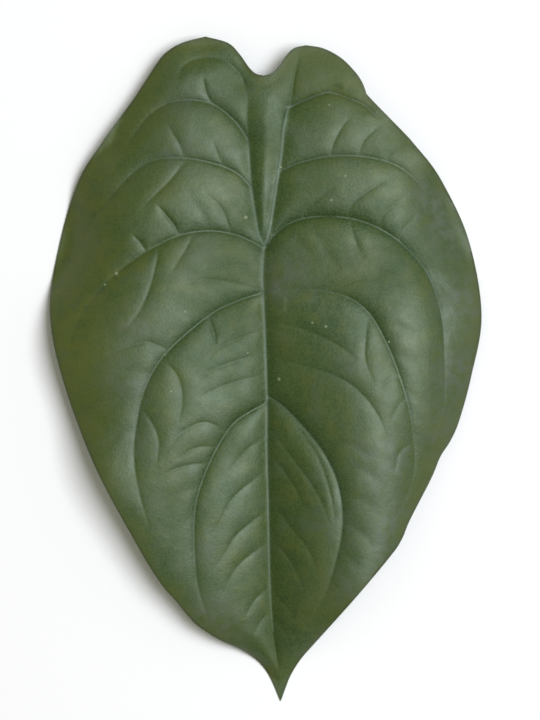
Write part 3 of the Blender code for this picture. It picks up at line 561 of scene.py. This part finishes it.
# %% Place the points, the most important first
def wanted_points():
    """Pairs of points and the room that each of them needs, in order of importance."""
    loop = margin_loop(MARGIN_SPACING)
    wanted = [(loop, 0.0), (ring(JUNCTION, STALK_BASE, STALK_SIDES), 0.0)]
    for spot, size in zip(SPECKS, SPECK_SIZES):
        wanted.append((np.array([spot]), SPECK_ROOM))
        wanted.append((ring(spot, 0.4 * size, 6), 0.25))
        wanted.append((ring(spot, 0.9 * size, 9), SPECK_ROOM))
    streak = curve(STREAK, STREAK_STEP)
    for row in (streak, beside(streak, 0.4)):
        wanted.append((row, SPECK_ROOM))
    for veins, offsets in ((SPINE, SPINE_ROWS), (SIDE_VEINS, SIDE_ROWS),
                           (BRANCHES + STRONG_BRANCHES, BRANCH_ROWS)):
        for offset in (0.0,) + offsets:
            for vein in veins:
                route = curve(vein, ROW_STEP)
                row = beside(route, offset) if offset else route
                wanted.append((row, CLOSE_ROOM if offset < 1 else ROW_ROOM))
    wanted.append((beside(loop, 0.9), ROW_ROOM))
    low, high = loop.min(0), loop.max(0)
    row_gap = FILL_SPACING * math.sin(math.radians(60))
    for number, y in enumerate(np.arange(low[1], high[1], row_gap)):
        across = np.arange(low[0] + FILL_SPACING / 2 * (number % 2), high[0], FILL_SPACING)
        wanted.append((np.column_stack([across, np.full(len(across), y)]), FILL_ROOM))
    return wanted, loop


def plan_field():
    """The chosen plan points. The margin loop comes first."""
    wanted, loop = wanted_points()
    points = np.vstack([row for row, _ in wanted])
    room = np.concatenate([np.full(len(row), clearance) for row, clearance in wanted])
    fixed = len(loop) + STALK_SIDES
    from_margin = nearest(np.vstack([loop, loop[:1]]), points)[0]
    allowed = inside(points, loop) & (from_margin > MARGIN_GAP)
    allowed[:fixed] = True
    cells, chosen = {}, []
    for index in np.flatnonzero(allowed):
        x, y = points[index]
        column, row = int(x // CELL), int(y // CELL)
        near = [other for i in (column - 1, column, column + 1)
                for j in (row - 1, row, row + 1) for other in cells.get((i, j), ())]
        if index >= fixed and any((x - a) ** 2 + (y - b) ** 2 < room[index] ** 2 for a, b in near):
            continue
        cells.setdefault((column, row), []).append((x, y))
        chosen.append(index)
    return points[chosen], len(loop)


plan, margin_count = plan_field()
print(len(plan), "plan points,", margin_count, "of them on the margin")

# %% [markdown]
# ## One triangulation for both faces
# Blender's constrained triangulation joins the points, keeping the margin and the stalk's ring as
# edges. Triangles outside the margin, across the notch for example, are dropped.

# %% Triangulate the field
def triangulate(plan, margin_count):
    """Plan points and triangles of the blade."""
    around = [margin_count + side for side in range(STALK_SIDES)]
    edges = [(i, (i + 1) % margin_count) for i in range(margin_count)]
    edges += list(zip(around, around[1:] + around[:1]))
    flat = [Vector(point) for point in plan]
    points, _, triangles, *_ = delaunay_2d_cdt(flat, edges, [], 1, 1e-5, True)
    plan = np.array([tuple(point) for point in points])
    triangles = np.array([tuple(triangle) for triangle in triangles])
    within = inside(plan[triangles].mean(1), plan[:margin_count])
    return plan, triangles[within]


plan, triangles = triangulate(plan, margin_count)
print(len(triangles), "triangles a face")

# %% [markdown]
# ## Lift the upper face, hang the lower one
# The upper face is the arch less the valleys, with a fine ridge or crease along each vein. The
# lower face hangs a blade's thickness below, measured square to the surface, and the ribs are added
# to it. Near the table it levels out softly, so the leaf lies on three small flat spots.

# %% Heights of both faces
BLADE = 0.7
STEEPEST = 0.4
SOFT_FLOOR = 2.0
FLAT_SPOT = 0.35


def face_normals(points, triangles):
    """A unit normal for every point, from the triangles round it."""
    corners = points[triangles]
    square = np.cross(corners[:, 1] - corners[:, 0], corners[:, 2] - corners[:, 0])
    total = np.zeros_like(points)
    for corner in range(3):
        np.add.at(total, triangles[:, corner], square)
    return total / np.linalg.norm(total, axis=1)[:, None]


arched, outward = arch(plan)
groove, line, rib, pale, shade = vein_relief(plan)
upper = arched - groove + line
lean = np.maximum(face_normals(np.column_stack([plan, upper]), triangles)[:, 2], STEEPEST)
lower = arched - groove - BLADE / lean - rib
lower = np.maximum(0.5 * (lower + np.hypot(lower, SOFT_FLOOR)) - FLAT_SPOT, 0)
upper = np.maximum(upper, lower + BLADE / lean)
print("upper face up to", round(upper.max(), 1), "mm, arch", round(arched.max(), 1), "mm")

# %% [markdown]
# ## Close the blade
# The margin of a leaf is rounded, not cut square, so the two faces meet through a middle row that
# stands out a little. Beneath the junction the lower face is left open for the stalk.

# %% Corners and faces of the mesh
EDGE_ROUNDING = 0.22


def blade_mesh():
    """Points, faces and the ring left open for the stalk."""
    count = len(plan)
    loop = plan[:margin_count]
    run = np.roll(loop, -1, axis=0) - np.roll(loop, 1, axis=0)
    outside = np.column_stack([run[:, 1], -run[:, 0]]) / np.linalg.norm(run, axis=1)[:, None]
    if inside(loop[:1] + 0.3 * outside[:1], loop)[0]:
        outside = -outside
    middle = (upper[:margin_count] + lower[:margin_count]) / 2
    points = np.vstack([np.column_stack([plan, upper]), np.column_stack([plan, lower]),
                        np.column_stack([loop + EDGE_ROUNDING * outside, middle])])
    from_junction = np.linalg.norm(plan - np.array(JUNCTION), axis=1)
    covered = (from_junction[triangles] < STALK_BASE + 0.01).all(1)
    faces = [tuple(t) for t in triangles.tolist()]
    faces += [tuple(t) for t in (triangles[~covered][:, ::-1] + count).tolist()]
    rim = 2 * count
    directed = {pair for t in triangles.tolist()
                for pair in ((t[0], t[1]), (t[1], t[2]), (t[2], t[0]))}
    for i in range(margin_count):
        j = (i + 1) % margin_count
        a, b = (i, j) if (i, j) in directed else (j, i)
        faces.append((b, a, rim + a, rim + b))
        faces.append((rim + b, rim + a, count + a, count + b))
    around = [count + margin_count + side for side in range(STALK_SIDES)]
    return points, faces, around


points, faces, around = blade_mesh()
print(len(points), "corners,", len(faces), "faces before the stalk")

# %% [markdown]
# ## The cut stub of the stalk
# The stalk joins beneath the junction and bends back toward the notch. It is swept here ring by
# ring from the opening, narrowing as it goes. It ends in a clean cut with a slightly rounded edge
# and a middle that has sunk a little as it dried.

# %% Sweep the stalk
STALK_RADIUS = 2.6
STALK_FLARE = 2.4
BEND_RADIUS = 4.2
BELOW_BLADE = 0.8
BEND_STEPS = 10
STRAIGHT_RUNS = (5.0, 10.0, 13.75, 14.0)
CUT_ROUNDING = 0.25
CUT_HOLLOW = 0.3


def sweep_stalk(points, faces, around):
    """Add the bent stub below the ring, and return the points and the cut end's faces."""
    rows = [points]
    base = points[around][:, 2].min()
    loop, count = around, len(points)
    last = BEND_STEPS + len(STRAIGHT_RUNS)
    angles = np.arange(STALK_SIDES) * 2 * math.pi / STALK_SIDES
    for step in range(1, last + 1):
        share = min(step / BEND_STEPS, 1)
        turn = math.radians(90) * share
        radius = STALK_RADIUS + STALK_FLARE * (1 - share) ** 2
        radius -= CUT_ROUNDING if step == last else 0.0
        centre = np.array([JUNCTION[0], JUNCTION[1] + BEND_RADIUS * (1 - math.cos(turn)),
                           base - BELOW_BLADE - BEND_RADIUS * math.sin(turn)])
        ahead = np.array([0, math.sin(turn), -math.cos(turn)])
        run = STRAIGHT_RUNS[step - BEND_STEPS - 1] if step > BEND_STEPS else 0.0
        up = np.array([0, math.cos(turn), math.sin(turn)])
        section = centre + run * ahead + radius * (np.cos(angles)[:, None] * np.array([1, 0, 0])
                                                   + np.sin(angles)[:, None] * up)
        rows.append(section)
        after = [count + side for side in range(STALK_SIDES)]
        for side in range(STALK_SIDES):
            other = (side + 1) % STALK_SIDES
            faces.append((loop[side], after[side], after[other], loop[other]))
        loop, count = after, count + STALK_SIDES
    rows.append(rows[-1].mean(0)[None] + np.array([[0, -CUT_HOLLOW, 0.0]]))
    cut = []
    for side in range(STALK_SIDES):
        cut.append(len(faces))
        faces.append((loop[(side + 1) % STALK_SIDES], loop[side], count))
    return np.vstack(rows), cut


points, cut_end = sweep_stalk(points, faces, around)
print("stalk added:", len(points), "corners,", len(faces), "faces")

# %% [markdown]
# ## The mesh and what its points know
# Each point also carries how pale a vein line makes it, how much painted shade and deeper green lie
# beside a vein, how far out toward the margin it lies, whether it is on the rim or in a speck, and
# how yellowed it is, how much deeper green and painted shade, painted sheen and dullness it has.
# The materials read these by name.

# %% Make the leaf object
leaf_mesh = bpy.data.meshes.new("leaf_blade")
leaf_mesh.from_pydata((points * MM).tolist(), [], faces)
leaf = bpy.data.objects.new("leaf_blade", leaf_mesh)
bpy.context.collection.objects.link(leaf)
print(leaf.name, len(leaf_mesh.vertices), "vertices,", len(leaf_mesh.polygons), "faces")

# %% What each point knows
SPECK_PALENESS, SPECK_EDGE = 0.8, 0.55
STREAK_PALENESS, STREAK_WIDTH = 0.2, 0.35
RIM_WIDTH = 0.55


def tell_points(name, above, below):
    """Store one number per point: the upper face's, the lower face's, and the rim's."""
    values = np.zeros(len(points))
    values[:len(plan)] = above
    values[len(plan):2 * len(plan)] = below
    values[2 * len(plan):2 * len(plan) + margin_count] = above[:margin_count]
    leaf_mesh.attributes.new(name, "FLOAT", "POINT").data.foreach_set("value", values)


specks = np.zeros(len(plan))
for spot, size in zip(SPECKS, SPECK_SIZES):
    distance = np.linalg.norm(plan - np.array(spot), axis=1)
    specks = np.maximum(specks, SPECK_PALENESS * np.exp(-(distance / (SPECK_EDGE * size)) ** 4))
from_streak = nearest(curve(STREAK, STREAK_STEP), plan)[0]
specks = np.maximum(specks, STREAK_PALENESS * np.exp(-(from_streak / STREAK_WIDTH) ** 2))
tell_points("vein", pale, np.minimum(rib, 1))
# Painted shade beside the veins, together with the deeper green there.
tell_points("shade", shade, shade)
tell_points("outward", outward, outward)
loop = plan[:margin_count]
rim = np.exp(-(nearest(np.vstack([loop, loop[:1]]), plan)[0] / RIM_WIDTH) ** 2)
tell_points("rim", rim, rim)
# The spots give yellowing, deeper green with painted shade, painted sheen and dullness.
for name, spots in (("yellowed", YELLOWED), ("deep_green_and_shade", DEEP_GREEN_AND_SHADE), ("painted_sheen", PAINTED_SHEEN),
                    ("dull", DULL)):
    amount = sum(strength * bump(plan, spot, spread) for spot, spread, strength in spots)
    tell_points(name, np.minimum(amount, 1), 0 * amount)
tell_points("speck", specks, 0 * specks)
print("attributes:", [a.name for a in leaf_mesh.attributes if a.domain == "POINT"])

# %% [markdown]
# The upper face, the underside with the stalk, and the cut each wear a material of their own. The
# corners that the stalk hides are deleted, and the shading is smoothed but for the cut's edge.

# %% Which face wears which material
UPPER, LOWER, CUT = 0, 1, 2
which = np.full(len(faces), LOWER)
which[:len(triangles)] = UPPER
which[cut_end] = CUT
leaf_mesh.polygons.foreach_set("material_index", which)
bpy.ops.object.select_all(action="DESELECT")
leaf.select_set(True)
bpy.context.view_layer.objects.active = leaf
bpy.ops.object.mode_set(mode="EDIT")
bpy.ops.mesh.select_all(action="SELECT")
bpy.ops.mesh.delete_loose()
bpy.ops.object.mode_set(mode="OBJECT")
bpy.ops.object.shade_smooth_by_angle(angle=math.radians(50))
print(len(leaf_mesh.vertices), "vertices once the hidden ones are gone")

# %% [markdown]
# ## Materials
# Nothing on a leaf is one flat colour. The green is mixed from slow patches, blotches, small cells
# and a fine grain, then darkened beside the veins with a deeper green and painted shade, turned
# olive toward the margin and paled along the vein lines; spots of painted sheen and of deeper green
# with painted shade go on too. A painted image could do it. Noise laid out in the leaf's own
# coordinates has no seams, and the points say where the veins and the margin are.

# %% Helpers for shader nodes
def new_material(name):
    """A material with nodes, and its shader."""
    material = bpy.data.materials.new(name)
    material.use_nodes = True
    return material, material.node_tree.nodes["Principled BSDF"]


def feed(material, socket, value):
    """Set a socket to a number or colour, or link another node's output to it."""
    if isinstance(value, bpy.types.NodeSocket):
        material.node_tree.links.new(value, socket)
    else:
        socket.default_value = value


def add_node(material, kind, **settings):
    """A new node with some of its settings."""
    node = material.node_tree.nodes.new(kind)
    for name, value in settings.items():
        setattr(node, name, value)
    return node


def noise(material, size, detail=2.0):
    """Soft random patches about this many millimetres across."""
    node = add_node(material, "ShaderNodeTexNoise")
    feed(material, node.inputs["Vector"], add_node(material, "ShaderNodeTexCoord").outputs["Object"])
    node.inputs["Scale"].default_value = 1 / (size * MM)
    node.inputs["Detail"].default_value = detail
    return node.outputs["Fac"]


def cracks(material, size):
    """Thin lines of a net of cells about this many millimetres across: 1 on a line, 0 inside."""
    node = add_node(material, "ShaderNodeTexVoronoi", feature="DISTANCE_TO_EDGE")
    feed(material, node.inputs["Vector"], add_node(material, "ShaderNodeTexCoord").outputs["Object"])
    node.inputs["Scale"].default_value = 1 / (size * MM)
    return stretch(material, node.outputs["Distance"], 0.0, 0.12, 1, 0)


def known(material, name):
    """What the mesh's points know, read by name."""
    return add_node(material, "ShaderNodeAttribute", attribute_name=name).outputs["Fac"]


def stretch(material, value, low, high, to_low=0.0, to_high=1.0):
    """Spread a part of a value's range over a new range."""
    node = add_node(material, "ShaderNodeMapRange")
    for socket, number in zip(node.inputs, (value, low, high, to_low, to_high)):
        feed(material, socket, number)
    return node.outputs[0]


def blend(material, amount, first, second):
    """A colour between two others."""
    node = add_node(material, "ShaderNodeMix", data_type="RGBA")
    feed(material, node.inputs[0], amount)
    feed(material, node.inputs[6], first)
    feed(material, node.inputs[7], second)
    return node.outputs[2]


def calculate(material, operation, first, second):
    """One step of arithmetic on two values."""
    node = add_node(material, "ShaderNodeMath", operation=operation)
    feed(material, node.inputs[0], first)
    feed(material, node.inputs[1], second)
    return node.outputs[0]


def raise_grain(material, shader, layers):
    """Bump made of several layers, each a height value and its depth in millimetres."""
    normal = None
    for height, depth in layers:
        node = add_node(material, "ShaderNodeBump")
        node.inputs["Strength"].default_value = 1.0
        node.inputs["Distance"].default_value = depth * MM
        feed(material, node.inputs["Height"], height)
        if normal is not None:
            feed(material, node.inputs["Normal"], normal)
        normal = node.outputs["Normal"]
    feed(material, shader.inputs["Normal"], normal)


# %% [markdown]
# The upper face has a waxy skin: a dull gloss that turns grey-green where it faces the light. Its
# green is built up layer over layer, each with an amount and a tone.

# %% Tones of the upper face
DARK_GREEN, MID_GREEN = (0.016, 0.048, 0.002, 1), (0.044, 0.067, 0.006, 1)
OLIVE_BLOTCH = (0.062, 0.075, 0.002, 1)
DARK_CELL = (0.012, 0.045, 0.001, 1)
PALE_HAZE = (0.070, 0.086, 0.056, 1)
NET_GREEN = (0.055, 0.092, 0.020, 1)
# Partly the deeper green beside the veins, partly painted shade in their valleys.
VEIN_GREEN_AND_SHADE = (0.008, 0.034, 0.002, 1)
MARGIN_OLIVE = (0.064, 0.078, 0.010, 1)
# Of these spot tones, the deepest green is partly painted shade and the pale grey-green painted sheen.
SPOT_TONES = {"yellowed": (0.070, 0.082, 0.002, 1), "deep_green_and_shade": (0.006, 0.036, 0.001, 1),
              "painted_sheen": (0.080, 0.094, 0.072, 1)}
GRAIN_GREEN = (0.070, 0.104, 0.022, 1)
RIM_BROWN = (0.030, 0.030, 0.010, 1)
VEIN_LINE = (0.105, 0.150, 0.110, 1)
SPECK_TONE = (0.30, 0.32, 0.20, 1)
NET_SIZE = 1.7
print(len(SPOT_TONES), "kinds of spots over greens from", DARK_GREEN[:3], "to", MID_GREEN[:3])

# %% Upper face
def upper_green(material, net):
    """The green of the upper face, from slow patches up to vein lines and specks."""
    def cloud(size, detail, low, high, most):
        """Random patches whose amount goes up to this share."""
        return stretch(material, noise(material, size, detail), low, high, 0, most)

    waver = stretch(material, noise(material, 14), 0.3, 0.7, -0.10, 0.10)
    outward = calculate(material, "ADD", known(material, "outward"), waver)
    mottle = stretch(material, noise(material, 4, 5), 0.42, 0.58, 0.30, 1.0)
    # Beside the veins the green darkens with painted shade, and the spots add painted sheen and shade.
    layers = [(cloud(9, 3, 0.48, 0.66, 0.7), OLIVE_BLOTCH),
              (cloud(4, 4, 0.42, 0.60, 0.55), DARK_CELL),
              (cloud(11, 4, 0.52, 0.66, 0.4), PALE_HAZE),
              (calculate(material, "MULTIPLY", net, 0.22), NET_GREEN),
              (stretch(material, known(material, "shade"), 0.05, 0.8, 0, 0.92), VEIN_GREEN_AND_SHADE),
              (stretch(material, outward, 0.84, 1.0, 0, 0.6), MARGIN_OLIVE)]
    for name, tone in SPOT_TONES.items():
        amount = calculate(material, "MULTIPLY", known(material, name), mottle)
        layers.append((calculate(material, "MULTIPLY", amount, 0.9), tone))
    layers += [(cloud(0.8, 3, 0.38, 0.62, 0.44), GRAIN_GREEN),
               (stretch(material, known(material, "rim"), 0, 1, 0, 0.75), RIM_BROWN),
               (stretch(material, known(material, "vein"), 0.1, 1.0, 0, 0.75), VEIN_LINE),
               (known(material, "speck"), SPECK_TONE)]
    green = blend(material, cloud(26, 2, 0.35, 0.65, 1), DARK_GREEN, MID_GREEN)
    for amount, tone in layers:
        green = blend(material, amount, green, tone)
    return green


def upper_face():
    """Satin green, darker beside the veins with painted shade, olive at the margin, pale vein lines."""
    material, shader = new_material("leaf_upper")
    net = cracks(material, NET_SIZE)
    feed(material, shader.inputs["Base Color"], upper_green(material, net))
    gloss = stretch(material, noise(material, 7, 3), 0.3, 0.7, 0.44, 0.54)
    worn = calculate(material, "MULTIPLY", known(material, "dull"), 0.16)
    feed(material, shader.inputs["Roughness"], calculate(material, "ADD", gloss, worn))
    shader.inputs["Specular IOR Level"].default_value = 0.72
    shader.inputs["Specular Tint"].default_value = (0.88, 1.0, 0.86, 1)
    raise_grain(material, shader, [(noise(material, 9, 4), 0.22), (noise(material, 3.6, 3), 0.09),
                                   (noise(material, 1.1, 3), 0.018), (net, 0.015),
                                   (noise(material, 0.5, 2), 0.012)])
    return material


# %% [markdown]
# The underside of the same leaf is paler and duller, with ribs nearly the colour of the stalk.

# %% Lower face and stalk
def lower_face():
    """Dull pale green with lighter ribs."""
    material, shader = new_material("leaf_lower")
    patches = stretch(material, noise(material, 30), 0.35, 0.65)
    green = blend(material, patches, (0.095, 0.150, 0.070, 1), (0.125, 0.185, 0.090, 1))
    cells = stretch(material, noise(material, 3.5, 3), 0.3, 0.7, 0, 0.4)
    green = blend(material, cells, green, (0.080, 0.125, 0.052, 1))
    on_rib = stretch(material, known(material, "vein"), 0.05, 0.7, 0, 0.85)
    green = blend(material, on_rib, green, (0.230, 0.290, 0.140, 1))
    feed(material, shader.inputs["Base Color"], green)
    dull = stretch(material, noise(material, 7), 0.3, 0.7, 0.55, 0.68)
    feed(material, shader.inputs["Roughness"], dull)
    shader.inputs["Specular IOR Level"].default_value = 0.4
    raise_grain(material, shader, [(noise(material, 2.4, 3), 0.25), (noise(material, 0.6, 2), 0.06)])
    return material


def stalk_cut():
    """The moist pale pith of the cut, browned in patches."""
    material, shader = new_material("stalk_cut")
    pith = blend(material, stretch(material, noise(material, 0.7, 3), 0.35, 0.65),
                 (0.33, 0.36, 0.17, 1), (0.20, 0.21, 0.09, 1))
    feed(material, shader.inputs["Base Color"], pith)
    moist = stretch(material, noise(material, 1.2), 0.3, 0.7, 0.5, 0.7)
    feed(material, shader.inputs["Roughness"], moist)
    raise_grain(material, shader, [(noise(material, 0.6, 3), 0.12)])
    return material


for material in (upper_face(), lower_face(), stalk_cut()):
    leaf_mesh.materials.append(material)
print([slot.name for slot in leaf.material_slots])

# %% [markdown]
# ## Say what stands for what
# The fine leaf hides the CAD node, which stays for collision, and moves with its only body.

# %% Tell the frame
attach(leaf, "root")
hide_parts("alocasia_leaf")
print("leaf box", [round(v * 1000, 1) for v in leaf.dimensions], "mm")

# %% [markdown]
# ## Table, light and camera
# The photograph looks straight down on the leaf against plain white, in soft light from above and
# to the right. One large softbox, a faint surround and a white table give that. A sun lamp would
# make the sheen on the blade too sharp.

# %% Table
bpy.ops.object.select_all(action="DESELECT")
bpy.ops.mesh.primitive_plane_add(size=4, location=(0, 0, 0))
table = bpy.context.object
table.name = "table"
white, shader = new_material("white_table")
shader.inputs["Base Color"].default_value = (0.99, 0.98, 0.99, 1)
shader.inputs["Roughness"].default_value = 0.9
table.data.materials.append(white)
print("table", table.dimensions.x, "m across")

# %% Light
def softbox(name, place, size, power):
    """A square lamp that faces the leaf."""
    bpy.ops.object.light_add(type="AREA", location=place)
    lamp = bpy.context.object
    lamp.name = name
    lamp.data.size = size
    lamp.data.energy = power
    lamp.data.color = (0.97, 1.0, 1.07)
    lamp.rotation_euler = (-Vector(place)).to_track_quat("-Z", "Y").to_euler()
    return lamp


softbox("key_light", (0.88, 0.26, 2.0), 1.3, 43)
world = bpy.data.worlds.new("surround")
world.use_nodes = True
surround = world.node_tree.nodes["Background"]
surround.inputs["Color"].default_value = (1, 1, 0.8, 1)
surround.inputs["Strength"].default_value = 0.32
bpy.context.scene.world = world
bpy.context.scene.view_settings.view_transform = "Standard"
print("one softbox and a faint warm surround")

# %% Camera
DISTANCE = 1.6
MIDDLE_HEIGHT = 0.006
FRAME_HEIGHT = 0.288
FILM_HEIGHT = 36
bpy.ops.object.camera_add(location=(0.0018, 0.004, DISTANCE), rotation=(0, 0, 0))
camera = bpy.context.object
camera.data.sensor_fit = "VERTICAL"
camera.data.sensor_height = FILM_HEIGHT
camera.data.lens = FILM_HEIGHT * (DISTANCE - MIDDLE_HEIGHT) / FRAME_HEIGHT
bpy.context.scene.camera = camera
print("lens", round(camera.data.lens), "mm")
